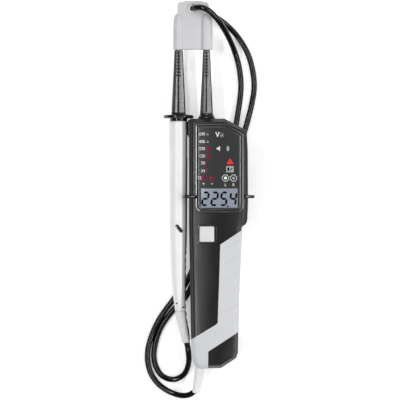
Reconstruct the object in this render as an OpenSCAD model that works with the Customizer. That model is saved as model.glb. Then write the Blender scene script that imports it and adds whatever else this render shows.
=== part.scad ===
// Two-pole voltage tester: a main unit with display head, a clip-on second probe,
// a cap over both tips and the lead that joins the two probes.
// It lies on its back: +Z is up towards the display, +Y runs towards the tips.

/* [Main unit] */
// Length of the housing along Y
body_l = 169; // [168:0.5:169]
// Left face of the display head, from the housing's centre line
head_left = 19.7; // [19.4:0.1:19.8]
// Right face of the display head, from the housing's centre line
head_right = 20.3; // [20:0.1:21]
// Right face of the grip, from the housing's centre line
grip_right = 14; // [13.5:0.1:14.5]
// Height of the flat back above the table
back_z = 5; // [4.9:0.1:5.2]
// Height of the front face's crown above the table
front_z = 31.5; // [31:0.1:31.8]
// Radius of the front face's crown
crown_r = 90; // [80:5:120]
// Thickness of the two shells
wall = 2; // [1.8:0.1:2.2]
// Thickness of the soft grip skin
skin = 1.2; // [1:0.1:1.3]

/* [Display and button] */
// Height of the display panel's top face
panel_z = 32.6; // [32.4:0.1:33]
// Width of the liquid crystal display
lcd_w = 25; // [23:0.2:25.2]
// Length of the liquid crystal display along Y
lcd_l = 13.4; // [12:0.2:14]
// Width of the push button
button_w = 10; // [9:0.2:10.4]
// Length of the push button along Y
button_l = 11.1; // [10:0.1:11.4]
// Height of the push button's top face
button_z = 33; // [32.6:0.1:33.4]

/* [Tips] */
// Distance between the two tips
tip_pitch = 19; // [19:1:19]
// Diameter of the metal tips
tip_d = 4; // [4:0.1:4.1]
// Height of both tips' axes above the table
tip_z = 17; // [17:0.1:17.2]
// Where the insulated shafts end along Y
shaft_end_y = 215.8; // [214:0.2:215.8]
// Where the metal tips end along Y
tip_end_y = 236; // [230:1:236]

/* [Guards] */
// Thickness of the main unit's finger guard
guard_t = 2.2; // [2:0.1:2.4]
// Right edge of the finger guard, from the housing's centre line
guard_right = 25; // [24.5:0.1:26]
// Diameter of the second probe's guard disc
disc_d = 20.9; // [20:0.1:21]

/* [Cap and lead] */
// Where the cap's mouth is along Y
cap_y = 216.2; // [216.2:0.1:216.6]
// Top edge of the cap along Y
cap_end_y = 249.5; // [249.5:0.1:250]
// Thickness of the cap's plate
cap_t = 4; // [3.6:0.1:4.4]
// Diameter of the test lead
lead_d = 4; // [3.6:0.1:4]
// Bottom end of the lead's boot on the main unit
boot_end_y = -16.3; // [-16.5:0.1:-16]

/* [Hidden] */
$fn = 48;

running = 0.05;          // radial clearance of a running fit
loose = 0.1;             // side clearance of a part that drops into an opening
part_z = 17;             // where the two shells meet
main_x = -7.8;           // main tip's axis, from the housing's centre line
probe_x = main_x - tip_pitch;
tip_r = tip_d / 2;

// The housing's centre line is x = 0 and its lower end y = 0 in every module below. The whole
// tester is then moved so that the middle of its footprint is the origin.
frame_x = -(guard_right + probe_x - disc_d / 2) / 2;
frame_y = -(cap_end_y + boot_end_y) / 2;

// ---- shared geometry ----

function unit(v) = v / norm(v);

// A closed outline's corner i moved inwards by d, with the outline anticlockwise.
function inset_corner(p, i, d) =
  let (n = len(p), u = unit(p[i] - p[(i + n - 1) % n]), v = unit(p[(i + 1) % n] - p[i]),
       m = [-u.y - v.y, u.x + v.x])
  p[i] + m * 2 * d / (m * m);
function inset(p, d) = [for (i = [0:len(p) - 1]) inset_corner(p, i, d)];
function at_height(p, z) = [for (q = p) [q.x, q.y, z]];

// A closed solid through rings of equally many points, each ring anticlockwise
// as seen from the side that the rings advance to.
module loft(rings) {
  n = len(rings[0]);
  m = len(rings);
  polyhedron(
    points = [for (r = rings) each r],
    faces = concat(
      [[for (i = [0:n - 1]) i]],
      [[for (i = [n - 1:-1:0]) (m - 1) * n + i]],
      [for (j = [0:m - 2]) for (i = [0:n - 1]) let (a = j * n + i, d = j * n + (i + 1) % n)
        each [[a, a + n, d + n], [a, d + n, d]]]),
    convexity = 6);
}

// An outline in the XZ plane, from y upwards by l.
module along_y(y, l) translate([0, y + l, 0]) rotate([90, 0, 0]) linear_extrude(l) children();

// A profile of [radius, y] pairs turned about a tip's axis.
module turned_y(x, z) translate([x, 0, z]) rotate([-90, 0, 0]) rotate_extrude() children();

// A rod along Y.
module rod_y(x, y, z, r, l) translate([x, y, z]) rotate([-90, 0, 0]) cylinder(r = r, h = l);

// A box from its low corner to its high corner.
module box(a, b) translate(a) cube(b - a);

module in_row() translate([frame_x, frame_y, 0]) children();

// ---- housing form ----

waist_y = 97.2;          // where the grip widens into the display head

body_outline = [
  [-13.8, 0], [1.8, 0], [12.2, 6.8], [13.5, 10.5], [grip_right - 0.3, 24.8],
  [grip_right + 0.1, 45.9], [grip_right + 1, 69.7], [grip_right + 2, 90],
  [grip_right + 2, 95.5], [19, 97.7], [head_right - 0.4, 100.3], [head_right, 112],
  [head_right - 0.2, 148], [head_right - 0.9, 161], [4.4, body_l], [-head_left, body_l],
  [-head_left, 97], [-19, 59.5], [-18.4, 22], [-17.8, 8.5], [-16.3, 3.2]];

// A cross-section with bevelled corners whose sides stand 2 mm outside left and right,
// so that only its bevels cut the form that it is intersected with.
function bevels(left, right) = [
  [left + 4.7, back_z - 1], [right - 4.7, back_z - 1], [right + 2, back_z + 4.7],
  [right + 2, 25.8], [right - 4.7, 33.2], [left + 4.7, 33.2], [left - 2, 25.8],
  [left - 2, back_z + 4.7]];

// The housing's outer form, or the same form g inside its faces.
module housing(g) intersection() {
  translate([0, 0, back_z + g]) linear_extrude(30) polygon(inset(body_outline, g));
  translate([0, -10, front_z - crown_r]) rotate([-90, 0, 0])
    cylinder(r = crown_r - g, h = body_l + 20, $fn = 360);
  union() {
    along_y(waist_y, body_l) polygon(inset(bevels(-head_left, head_right), g));
    along_y(-10, waist_y + 10) polygon(inset(bevels(-head_left + 0.3, grip_right + 1.6), g));
  }
  translate([-40, 0, 0]) rotate([90, 0, 90]) linear_extrude(80) polygon(inset(bevels(0, body_l), g));
}

module upper_half() box([-40, -10, part_z], [40, body_l + 10, 60]);
module lower_half() box([-40, -10, -5], [40, body_l + 10, part_z]);

// Where the soft grip covers the housing, as seen from the front.
grip_outline = [
  [24, 99], [15, 92.8], [1.4, 83.8], [0.9, 66.3], [0.2, 45.9], [-0.3, 30.9], [-1.7, 29.6],
  [-24, 16.1], [-24, -3], [-6.8, -3], [-6.7, 11.6], [24, 31.4]];
module grip_skin() intersection() {
  difference() {
    housing(0);
    housing(skin);
  }
  translate([0, 0, -1]) linear_extrude(40) polygon(grip_outline);
}

// Where the housing's screws are, and the battery door's.
screw_places = [[13.3, 158], [-16.2, 162.4], [-9.2, 8], [8.5, 8]];
screw_r = 1.4;
head_r = 2.7;
head_z = 9;              // underside of the screws' heads
boss_r = 2.9;
door_screw_at = [-2.5, 75.5];

// The battery door's outline
door_low = [-14, 24];
door_high = [9.5, 80];

// Button and its bezel
button_at = [-7.6, 90.85];
bezel_half = [6.45, 6.45];

// Display panel, as seen from the front
panel_outline = [
  [-12.6, 105.7], [14.6, 105.7], [17, 108.3], [17, 158.6], [5.1, 165.2], [-15.6, 165.2],
  [-15.6, 108.7]];
panel_base_z = 29.2;
guard_y = 115.1;
guard_front_x = -14.3;    // the guard's left end, which passes over the panel's edge
lcd_at = [0.8, 115.2];
module lcd_opening() translate([lcd_at.x, lcd_at.y, 30]) cube([lcd_w, lcd_l, 10], center = true);

// ---- finger guard ----

guard_outline = [
  [17.7, 31.4], [20.6, 30.6], [24.2, 26.4], [guard_right, 22], [guard_right, 9], [22.6, 3.2],
  [19, 0], [8, 0], [7, 4.75], [-5.5, 4.75], [-7, 0], [-18.4, 0], [-20.1, 3], [-20.1, 21.5],
  [-23.8, 23.6], [-23.8, 25.6], [-19.2, 31.2], [-16.4, 32.4], [guard_front_x, 32.4]];
groove = 1.2;            // how deep the guard sits in the housing

module guard_plate() difference() {
  along_y(guard_y, guard_t) polygon(guard_outline);
  housing(groove);
  box([guard_front_x, guard_y - 1, 26], [17.7, guard_y + guard_t + 1, 40]);
}

module finger_guard() color("#1d1d1f") in_row() guard_plate();

// ---- shells ----

module tip_passage() {
  rod_y(main_x, 158, tip_z, 5.4 + loose, 3.2);
  rod_y(main_x, 150, tip_z, 4 + running, 30);
}

boot_at = [-12.2, 14];   // where the boot passes the housing's end, x and z
boot_neck_r = 3.4;
module boot_passage() rod_y(boot_at.x, -3, boot_at.y, boot_neck_r + loose, 9);

module front_shell() color("#2b2b2e") in_row() {
  difference() {
    intersection() {
      union() {
        difference() {
          housing(0);
          housing(wall);
        }
        intersection() {
          housing(0.5);
          union() {
            for (p = screw_places) translate([p.x, p.y, part_z]) cylinder(r = boss_r, h = 20);
            translate([door_screw_at.x, door_screw_at.y, part_z]) cylinder(r = boss_r, h = 20);
            box([-19, 156.5, part_z], [main_x + 7, body_l, 25.5]);
            box([screw_places[0].x, 157.2, part_z], [head_right, 158.8, 27]);
          }
        }
      }
      upper_half();
    }
    grip_skin();
    guard_plate();
    tip_passage();
    boot_passage();
    translate([0, 0, panel_base_z]) linear_extrude(10) polygon(inset(panel_outline, -loose));
    lcd_opening();
    box([button_at.x - bezel_half.x - loose, button_at.y - bezel_half.y - loose, 20],
        [button_at.x + bezel_half.x + loose, button_at.y + bezel_half.y + loose, 40]);
    for (p = screw_places) translate([p.x, p.y, part_z - 1]) cylinder(r = screw_r + running, h = 9);
    translate([door_screw_at.x, door_screw_at.y, part_z - 1]) cylinder(r = screw_r + running, h = 8);
  }
}

// The foot under the lower end, inside the housing's outline
module heel() intersection() {
  translate([-13, 0, 0]) rotate([90, 0, 90]) linear_extrude(24)
    polygon([[0.8, 8], [0.8, 1.4], [2, 0], [14, 0], [22, back_z], [22, 8]]);
  translate([0, 0, -1]) linear_extrude(12) polygon(inset(body_outline, 0.5));
}

module rear_shell() color("#262629") in_row() {
  difference() {
    union() {
      intersection() {
        union() {
          difference() {
            housing(0);
            housing(wall);
          }
          intersection() {
            housing(0.5);
            union() {
              for (p = screw_places) translate([p.x, p.y, 0]) cylinder(r = boss_r + 0.8, h = part_z);
              box([-19, 156.5, back_z], [main_x + 7, body_l, part_z]);
            }
          }
        }
        lower_half();
      }
      difference() {
        heel();
        translate([0, 0, part_z - 9.5]) linear_extrude(9) square(60, center = true);
      }
    }
    grip_skin();
    guard_plate();
    tip_passage();
    boot_passage();
    box([door_low.x, door_low.y, 0], [door_high.x, door_high.y, back_z + wall + 1]);
    for (p = screw_places) translate([p.x, p.y, -1]) {
      cylinder(r = head_r + loose, h = head_z + 1);
      cylinder(r = screw_r + 0.2, h = part_z + 2);
    }
  }
}

module front_overmould() color("#dadbdd") in_row() difference() {
  intersection() {
    grip_skin();
    upper_half();
  }
  for (i = [0:4]) translate([16.5, 86.7 - i * 10.8, 31]) rotate([0, 0, 30])
    translate([-14, -0.7, -1.4]) cube([18, 1.4, 4]);
  boot_passage();
}

module rear_overmould() color("#dadbdd") in_row() difference() {
  intersection() {
    grip_skin();
    lower_half();
  }
  heel();
  box([door_low.x, door_low.y, 0], [door_high.x, door_high.y, back_z + wall + 1]);
  boot_passage();
  for (p = screw_places) translate([p.x, p.y, -1]) cylinder(r = boss_r + 0.8, h = head_z);
}

// ---- display ----

// The light marks of the scale: centre and size of each.
scale_marks = [
  for (i = [0:1]) [[-6.5, 148.6 - 5 * i], [2.7, 3.8]],
  for (i = [0:1]) [[-7.6, 138.8 - 5.1 * i], [1.8, 2.7]],
  for (x = [-9.9, -4.3]) [[x, 128.7], [3.3, 3.5]]];

// The status marks: warning triangle, two rings, sound and box symbols.
triangle_at = [8, 140.1];
ring_places = [[5, 128.7], [10.4, 128.7]];
mark_depth = 0.6;

module display_panel() color("#2a2a2e") in_row() difference() {
  loft([for (s = [[panel_base_z, 0], [panel_z - 1.4, 0], [panel_z, 1.6]])
    at_height(inset(panel_outline, s[1]), s[0])]);
  lcd_opening();
  box([-20, guard_y - loose, 20], [guard_front_x + loose, guard_y + guard_t + loose, 40]);
  for (m = scale_marks) translate([m[0].x, m[0].y, panel_z])
    cube([m[1].x, m[1].y, 2 * mark_depth], center = true);
  translate([triangle_at.x, triangle_at.y, panel_z - mark_depth]) rotate(90)
    cylinder(r = 3, h = 2, $fn = 3);
  for (p = ring_places) translate([p.x, p.y, panel_z - mark_depth]) cylinder(r = 2.45, h = 2);
}

module scale_windows() color("#a0283a") in_row()
  for (m = scale_marks) translate([m[0].x, m[0].y, panel_z - mark_depth / 2])
    cube([m[1].x - 0.04, m[1].y - 0.04, mark_depth], center = true);

module status_windows() color("#d8322a") in_row() {
  translate([triangle_at.x, triangle_at.y, panel_z - mark_depth]) rotate(90)
    cylinder(r = 2.95, h = mark_depth, $fn = 3);
  for (p = ring_places) translate([p.x, p.y, panel_z - mark_depth]) cylinder(r = 2.42, h = mark_depth);
}

module lcd_module() color("#a9b0bc") in_row() {
  box([lcd_at.x - lcd_w / 2 - 2, lcd_at.y - lcd_l / 2 - 2.5, 25],
      [lcd_at.x + lcd_w / 2 + 1.4, lcd_at.y + lcd_l / 2 + 3, panel_base_z - 1.4]);
  box([lcd_at.x - lcd_w / 2 + loose, lcd_at.y - lcd_l / 2 + loose, panel_base_z - 1.4],
      [lcd_at.x + lcd_w / 2 - loose, lcd_at.y + lcd_l / 2 - loose, panel_z - 0.3]);
}

// ---- electronics ----

board_z = 24;            // top face of the circuit board
board_t = 1.6;

module circuit_board() color("#1f5a36") in_row() translate([0, 0, board_z - board_t])
  linear_extrude(board_t) polygon([
    [-15.5, 82], [12, 82], [12, 95], [16, 100], [16, 154], [-12, 154], [-12, 150], [-15.5, 150]]);

module main_chip() color("#202022") in_row()
  translate([3, 134, board_z + 0.7]) cube([10, 10, 1.4], center = true);

module indicator_leds() color("#f0f0e8") in_row() {
  for (m = scale_marks) translate([m[0].x, m[0].y, board_z + 0.5]) cube([1.6, 0.8, 1], center = true);
  translate([triangle_at.x, triangle_at.y + 3.5, board_z + 0.5]) cube([1.6, 0.8, 1], center = true);
  for (p = ring_places) translate([p.x + 5, p.y, board_z + 0.5]) cube([1.6, 0.8, 1], center = true);
}

module buzzer() color("#19191b") in_row() translate([6, 140, board_z - board_t - 5]) difference() {
  cylinder(r = 7, h = 5);
  translate([0, 0, -1]) cylinder(r = 1, h = 2);
}

module vibration_motor() color("#b8b8bc") in_row() {
  rod_y(5, 34, 24.6, 3, 12);
  rod_y(5, 46, 24.6, 0.5, 2);
  intersection() {
    rod_y(5, 48, 24.6, 2.6, 3.5);
    box([0, 47, 24.4], [10, 53, 30]);
  }
}

module tact_switch() color("#3a3a3d") in_row() translate([button_at.x, button_at.y, board_z]) {
  translate([-3, -3, 0]) cube([6, 6, 3.2]);
  cylinder(r = 1.7, h = 3.7);
}

module button_bezel() color("#3c3c40") in_row() translate([button_at.x, button_at.y, 0]) difference() {
  union() {
    box([-bezel_half.x, -bezel_half.y, 26.5], [bezel_half.x, bezel_half.y, 31.9]);
    box([-bezel_half.x - 1, -bezel_half.y - 1, 26.5], [bezel_half.x + 1, bezel_half.y + 1, 27.5]);
  }
  box([-button_w / 2 - 0.3, -button_l / 2 - 0.3, 20], [button_w / 2 + 0.3, button_l / 2 + 0.3, 40]);
}

module push_button() color("#ececee") in_row() translate([button_at.x, button_at.y, 0]) {
  loft([for (s = [[29.6, 0], [button_z - 0.6, 0], [button_z, 0.6]])
    at_height(inset([[-button_w, -button_l] / 2, [button_w, -button_l] / 2,
                     [button_w, button_l] / 2, [-button_w, button_l] / 2], s[1]), s[0])]);
  translate([0, 0, 28.7]) cylinder(r = 2, h = 1);
}

// ---- batteries ----

cell_r = 5.2;
cell_x = [-7.9, 3.2];
cell_y = 22;
cell_l = 43.5;
cell_z = 13.1;

module battery_tray() color("#222225") in_row() difference() {
  box([-14.9, 18.6, 7.6], [10.2, 70, 20]);
  box([-13.9, 19.6, 7], [9.2, 69, 19]);
}

module battery_cells() color("#8c7a4a") in_row() for (x = cell_x) {
  rod_y(x, cell_y, cell_z, cell_r, cell_l);
  rod_y(x, cell_y + cell_l, cell_z, 1.9, 1);
}

module battery_contacts() color("#c9c9cc") in_row() {
  box([-13, 68.2, 8.5], [8.5, 68.7, 18]);
  for (x = cell_x) {
    box([x - 4, 19.8, 9], [x + 4, 20.3, 17.5]);
    rod_y(x, 20.3, cell_z, 2.6, 1.6);
    rod_y(x, 66.6, cell_z, 2.2, 1.6);
  }
}

module battery_door() color("#242427") in_row() difference() {
  union() {
    intersection() {
      housing(0);
      box([door_low.x + 0.15, door_low.y + 0.15, 0],
          [door_high.x - 0.15, door_high.y - 0.15, back_z + wall]);
    }
    translate([door_screw_at.x, door_screw_at.y, back_z]) cylinder(r = 3.9, h = 5.5);
  }
  translate([door_screw_at.x, door_screw_at.y, 0]) {
    cylinder(r = head_r + loose, h = head_z);
    cylinder(r = screw_r + 0.2, h = 20);
  }
  for (i = [0:5]) box([-6, 30 + 2.2 * i, 0], [1, 31 + 2.2 * i, back_z + 0.5]);
}

// A pan-head screw from below, head at z.
module screw(p, z, l) translate([p.x, p.y, z - 1.9]) difference() {
  union() {
    cylinder(r = head_r, h = 1.9);
    cylinder(r = screw_r, h = l);
  }
  for (a = [0, 90]) rotate(a) translate([-1.5, -0.35, -1]) cube([3, 0.7, 1.9]);
}

module door_screw() color("#9a9a9e") in_row() screw(door_screw_at, head_z, 15);
module housing_screws() color("#9a9a9e") in_row() for (p = screw_places) screw(p, head_z, 16.5);

// ---- main tip ----

module main_shaft() color("#2c2c2f") in_row() turned_y(main_x, tip_z) polygon([
  [1.6, 152], [4, 152], [4, 158.1], [5.4, 158.1], [5.4, 161.1], [4, 161.1], [4, body_l + 0.2],
  [5.8, body_l + 0.2], [5.6, body_l + 1.2], [4.5, body_l + 3.4], [2.5, shaft_end_y],
  [tip_r + running, shaft_end_y], [tip_r + running, 205], [1.6, 205]]);

module tip_rod(x, root_y) turned_y(x, tip_z) polygon([
  [0, root_y], [1.5, root_y], [1.5, 205.1], [tip_r, 205.1], [tip_r, tip_end_y - 4],
  [1.5, tip_end_y - 1], [0.6, tip_end_y], [0, tip_end_y]]);

module main_tip() color("#c8c8cc") in_row() tip_rod(main_x, 146);

module tip_clip() color("#c9a24a") in_row() difference() {
  box([main_x - 2.5, 147, 14.5], [main_x + 2.5, 150, board_z - board_t - 0.1]);
  rod_y(main_x, 140, tip_z, 1.55, 20);
}

module dock_lug() color("#1d1d1f") in_row() {
  box([-head_left - 0.7, 157, 12.5], [-head_left, 168.4, 21.5]);
  box([-21.5, 158, 15.6], [-head_left - 0.6, 167.4, 18.4]);
}

// ---- lead and its boots ----

// Rings of a round or oval form along Y: y, left, right, half height, middle height.
function oval_ring(s, g) = [for (i = [0:23])
  [(s[1] + s[2]) / 2 + ((s[2] - s[1]) / 2 - g) * sin(15 * i), s[0], s[4] + (s[3] - g) * cos(15 * i)]];
module oval_form(rows, g) loft([for (s = rows) oval_ring(s, g)]);

module cable_boot() color("#e4e4e6") in_row() oval_form([
  [boot_end_y, -17.6, -11.6, 2.9, 10.6], [-12, -17, -10.8, 3, 11.6], [-6, -16.3, -9.6, 3.2, 13],
  [-0.6, boot_at.x - boot_neck_r, boot_at.x + boot_neck_r, boot_neck_r, boot_at.y],
  [4.4, boot_at.x - boot_neck_r, boot_at.x + boot_neck_r, boot_neck_r, boot_at.y]], 0);

// The lead's own line, from the main unit's boot round to the second probe.
lead_route = [
  [-15.2, -16.3, 10.4], [-18, -18.7, 9.2], [-21.6, -20.1, 7.6], [-25.6, -20.2, 5.8],
  [-30.2, -19.1, 4], [-36, -16.4, 2.6], [-42.2, -11.3, 2.05], [-46.8, -3.5, 2.05],
  [-48.4, 7, 2.05], [-46.4, 18, 2.05], [-40.5, 31.5, 2.05], [-31.5, 44.3, 2.05],
  [-22, 56.5, 2.05], [-14.5, 74, 2.05], [-8, 95.5, 2.05], [-1.8, 116, 2.05],
  [5, 137, 2.05], [11, 158, 2.05], [14.2, 176, 2.05], [15.9, 190.5, 2.05],
  [15, 203, 2.4], [12.2, 213.9, 5], [7.5, 224.7, 12], [1.4, 234.4, 20],
  [-5.4, 241.6, 24.8], [-10.5, 244.2, 25.4], [-15.2, 244.6, 22.6], [-17.1, 244.5, 19.6],
  [-17.4, 244.4, 17], [-17.1, 244.3, 14.4], [-15.2, 244.1, 11.4], [-10, 243.2, 8.6],
  [-2, 239.7, 6], [6.5, 233.8, 3.2],
  [15, 224.4, 2.05], [21.8, 211.5, 2.05], [25, 195, 2.05], [23.6, 181, 2.05],
  [19.2, 163.5, 2.05], [12.5, 141.1, 2.05], [5.2, 121, 2.05], [-2, 101, 2.05],
  [-8.2, 81, 2.05], [-14.2, 64, 2.05], [-21.5, 48, 2.05], [-31.3, 37.4, 2.05],
  [-39.5, 25.5, 2.05], [-43.6, 12, 2.05], [-43.3, 1.7, 2.05], [-38.5, -6.8, 2.05],
  [-30.5, -9.6, 2.3], [-23.2, -5.8, 4.6], [-20.1, 1.8, 8.2], [-20.2, 10, 12],
  [-21.3, 16.8, 13.8]];

// A smooth curve through the route's points.
function route_point(p, i, t) =
  let (n = len(p), a = p[max(i - 1, 0)], b = p[i], c = p[min(i + 1, n - 1)], d = p[min(i + 2, n - 1)])
  (2 * b + (c - a) * t + (2 * a - 5 * b + 4 * c - d) * t * t + (3 * b - a - 3 * c + d) * t * t * t) / 2;
function route_line(p) = [
  for (i = [0:len(p) - 2]) let (k = norm(p[i + 1] - p[i]) > 12 ? 2 : 1)
    for (j = [0:k - 1]) route_point(p, i, j / k),
  p[len(p) - 1]];
function headings(c) = [for (i = [0:len(c) - 1]) unit(c[min(i + 1, len(c) - 1)] - c[max(i - 1, 0)])];
function sides_of(t, i, s) = i == len(t) ? [] :
  let (m = unit(s - t[i] * (s * t[i]))) concat([m], sides_of(t, i + 1, m));

module swept_tube(p, r, n) {
  c = route_line(p);
  t = headings(c);
  s = sides_of(t, 0, [0, 0, 1]);
  loft([for (i = [0:len(c) - 1]) [for (k = [0:n - 1])
    c[i] + r * (cos(360 * k / n) * s[i] + sin(360 * k / n) * cross(t[i], s[i]))]]);
}

module test_lead() color("#101012") in_row() swept_tube(lead_route, lead_d / 2, 10);

// ---- second probe ----

handle_rows = [
  [17.7, -24.6, -19.1, 2.9, 14], [22, -25.8, -19.3, 3.4, 14.4], [27, -27, -20, 3.9, 15],
  [32.3, -28.2, -20.8, 4.4, 15.6], [38, -29.2, -21.4, 4.9, 16.1], [43, -29.8, -21.8, 5.3, 16.5],
  [50, -30.7, -21.8, 5.7, 16.8], [58, -31.4, -21.7, 6.1, tip_z], [68, -32, -21.5, 6.5, tip_z],
  [80, -32.5, -21.3, 6.8, tip_z], [94, -33, -21.1, 7, tip_z], [148, -33.1, -20.7, 7, tip_z],
  [160, -33.1, -20.7, 7, tip_z], [167.6, -33, -20.8, 6.6, tip_z]];
boot_rows = 5;           // the lowest rows are the probe's boot
shell_rows = [for (i = [boot_rows - 1:len(handle_rows) - 1]) handle_rows[i]];
probe_wall = 1.5;
spine_depth = 1.3;

module spine_region() translate([0, 0, 5]) linear_extrude(25) polygon(concat(
  [[-15, 170], [-15, 15], [handle_rows[0][2] - spine_depth, 15]],
  [for (s = handle_rows) [s[2] - spine_depth, s[0]]],
  [[handle_rows[len(handle_rows) - 1][2] - spine_depth, 170]]));

module probe_shell() color("#edeff0") in_row() difference() {
  oval_form(shell_rows, 0);
  oval_form([for (i = [1:len(shell_rows) - 1]) shell_rows[i]], probe_wall);
  rod_y((handle_rows[13][1] + handle_rows[13][2]) / 2, 160, tip_z, 4.6, 10);
  spine_region();
  for (p = [[-28, 43.7], [-23.8, 41]]) translate([p.x, p.y, 20.5]) cylinder(r = 0.45, h = 3);
  translate([-26.3, 94.4, 23.2]) rotate(-50) pill(6.5, 2.4, 2);
}

module probe_spine() color("#19191b") in_row() difference() {
  intersection() {
    oval_form(handle_rows, 0);
    spine_region();
  }
  box([-21.75, 142.5, 15.3], [-15, 170, 18.7]);
}

// A long round-ended block, centred.
module pill(l, w, h) linear_extrude(h) union() {
  square([l - w, w], center = true);
  for (s = [-1, 1]) translate([s * (l - w) / 2, 0]) circle(d = w);
}

module probe_mark() color("#202022") in_row() translate([-26.3, 94.4, 23.25]) rotate(-50)
  pill(6.4, 2.3, 0.7);

module probe_boot() color("#e6e8ea") in_row() difference() {
  oval_form([for (i = [0:boot_rows - 1]) handle_rows[i]], 0);
  spine_region();
}

module probe_collar() color("#1a1a1c") in_row() turned_y(probe_x, tip_z) polygon([
  [3.95 + running, 152], [4.5, 152], [4.5, 167.7], [6, 167.7], [6, 169.5], [disc_d / 2 - 0.7, 169.5],
  [disc_d / 2, 170.2], [disc_d / 2, 171.1], [disc_d / 2 - 0.7, 171.8], [3.95 + running, 171.8]]);

module probe_shaft() color("#2c2c2f") in_row() turned_y(probe_x, tip_z) polygon([
  [1.6, 148], [3.95, 148], [3.95, 171.9], [4.7, 171.9], [4.7, 173.1], [4.9, 173.3],
  [2.9, shaft_end_y], [tip_r + running, shaft_end_y], [tip_r + running, 205], [1.6, 205]]);

module probe_tip() color("#c8c8cc") in_row() tip_rod(probe_x, 136);

module probe_board() color("#1f5a36") in_row() box([-29, 70, 15.9], [-24.6, 135.9, 17.1]);

module probe_resistors() color("#5d7fa3") in_row() for (y = [76, 94, 112]) {
  rod_y(probe_x, y, 18.9, 1.7, 10);
  rod_y(probe_x, y - 1.5, 18.9, 0.4, 13);
}

// ---- cap ----

cap_plate_x = [-27.5, -6.1];
cap_hole = [-17.4, 244.4];
cap_hole_r = 2.8;

module cap_tube(x, r) turned_y(x, tip_z) polygon([
  [0, cap_y], [r, cap_y], [r - 0.3, 238.4], [r - 0.9, 239.8], [r - 2.2, 240.4], [0, 240.4]]);

module tip_cap() color("#dcdcde") in_row() difference() {
  union() {
    cap_tube(probe_x, 3.7);
    cap_tube(main_x, 4.3);
    translate([0, 0, tip_z - cap_t / 2]) linear_extrude(cap_t) polygon([
      [cap_plate_x[0], cap_y], [cap_plate_x[1], cap_y], [cap_plate_x[1], cap_end_y - 2.4],
      [cap_plate_x[1] - 1, cap_end_y - 1.1], [cap_plate_x[1] - 5, cap_end_y - 0.3],
      [(cap_plate_x[0] + cap_plate_x[1]) / 2, cap_end_y], [cap_plate_x[0] + 5, cap_end_y - 0.3],
      [cap_plate_x[0] + 1, cap_end_y - 1.1], [cap_plate_x[0], cap_end_y - 2.4]]);
  }
  for (x = [main_x, probe_x]) rod_y(x, cap_y - 1, tip_z, tip_r + running, tip_end_y + 1.5 - cap_y);
  translate([cap_hole.x, cap_hole.y, 0]) cylinder(r = cap_hole_r, h = 40);
}

front_shell();
rear_shell();
front_overmould();
rear_overmould();
finger_guard();
display_panel();
lcd_module();
scale_windows();
status_windows();
circuit_board();
main_chip();
indicator_leds();
buzzer();
vibration_motor();
tact_switch();
button_bezel();
push_button();
battery_tray();
battery_cells();
battery_contacts();
battery_door();
door_screw();
housing_screws();
main_shaft();
main_tip();
tip_clip();
dock_lug();
cable_boot();
probe_shell();
probe_spine();
probe_collar();
probe_shaft();
probe_tip();
probe_board();
probe_resistors();
probe_boot();
probe_mark();
tip_cap();
test_lead();
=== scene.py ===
import math

import bmesh
import bpy
from mathutils import Matrix, Vector


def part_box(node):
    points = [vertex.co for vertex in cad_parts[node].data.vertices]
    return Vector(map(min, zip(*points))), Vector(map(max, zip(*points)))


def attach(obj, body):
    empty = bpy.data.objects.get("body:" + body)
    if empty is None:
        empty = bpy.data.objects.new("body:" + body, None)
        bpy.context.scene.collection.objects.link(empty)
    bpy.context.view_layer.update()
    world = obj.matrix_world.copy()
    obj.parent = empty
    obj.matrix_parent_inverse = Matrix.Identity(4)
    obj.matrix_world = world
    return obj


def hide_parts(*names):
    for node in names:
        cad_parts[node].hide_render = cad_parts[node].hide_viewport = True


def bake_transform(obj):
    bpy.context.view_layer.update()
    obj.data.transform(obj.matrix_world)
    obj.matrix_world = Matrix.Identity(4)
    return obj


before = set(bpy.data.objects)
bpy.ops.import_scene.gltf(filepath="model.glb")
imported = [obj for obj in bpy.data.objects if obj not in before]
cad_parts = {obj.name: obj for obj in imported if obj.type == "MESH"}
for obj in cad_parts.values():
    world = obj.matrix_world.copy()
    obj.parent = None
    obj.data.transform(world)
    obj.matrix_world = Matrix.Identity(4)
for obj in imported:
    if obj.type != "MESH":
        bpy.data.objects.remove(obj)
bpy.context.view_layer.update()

# ---- places and sizes ----

MM = 0.001
HEAD_LEFT = 19.7
HOUSING_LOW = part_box("front_shell")[0]
ORIGIN = Vector((HOUSING_LOW.x + HEAD_LEFT * MM, HOUSING_LOW.y, 0))

PART_Z = 17
BACK_Z = 5
FRONT_Z = 31.5
CROWN_R = 90
OVER = 40
SHOULDER_Z = 27.6
HEEL_Z = 9.2
WALL = 2
SKIN = 1.2
PROUD = 0.25
GROOVE_R = 0.9
GROOVE_DEPTH = 0.32
GROOVES = 5
GROOVE_PITCH = 10.8
FIRST_GROOVE_Y = 87.5

MAIN_X = -7.8
PROBE_X = -26.8
TIP_Z = 17
SHAFT_END_Y = 215.8
SOCKET_R = 2.05
TIP_HOLE_R = 4.1

WINDOW_Z = 32.6
WINDOW_BASE_Z = 29.2
WINDOW_R = 150
LCD_LOW = (-11.7, 108.5)
LCD_HIGH = (13.3, 121.9)
LCD_Z = 31.85
BUTTON_AT = (-7.6, 90.85)
BUTTON_HALF = (5, 5.35)
BEZEL_HALF = 6.45

GUARD_Y = 115.1
GUARD_T = 2.2

CAP_Y = 216.2
CAP_END_Y = 249.5
CAP_T = 4
CAP_HOLE = (-17.4, 244.4)
CAP_HOLE_R = 2.7

LEAD_R = 2
LEAD_STEP = 1.6

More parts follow.
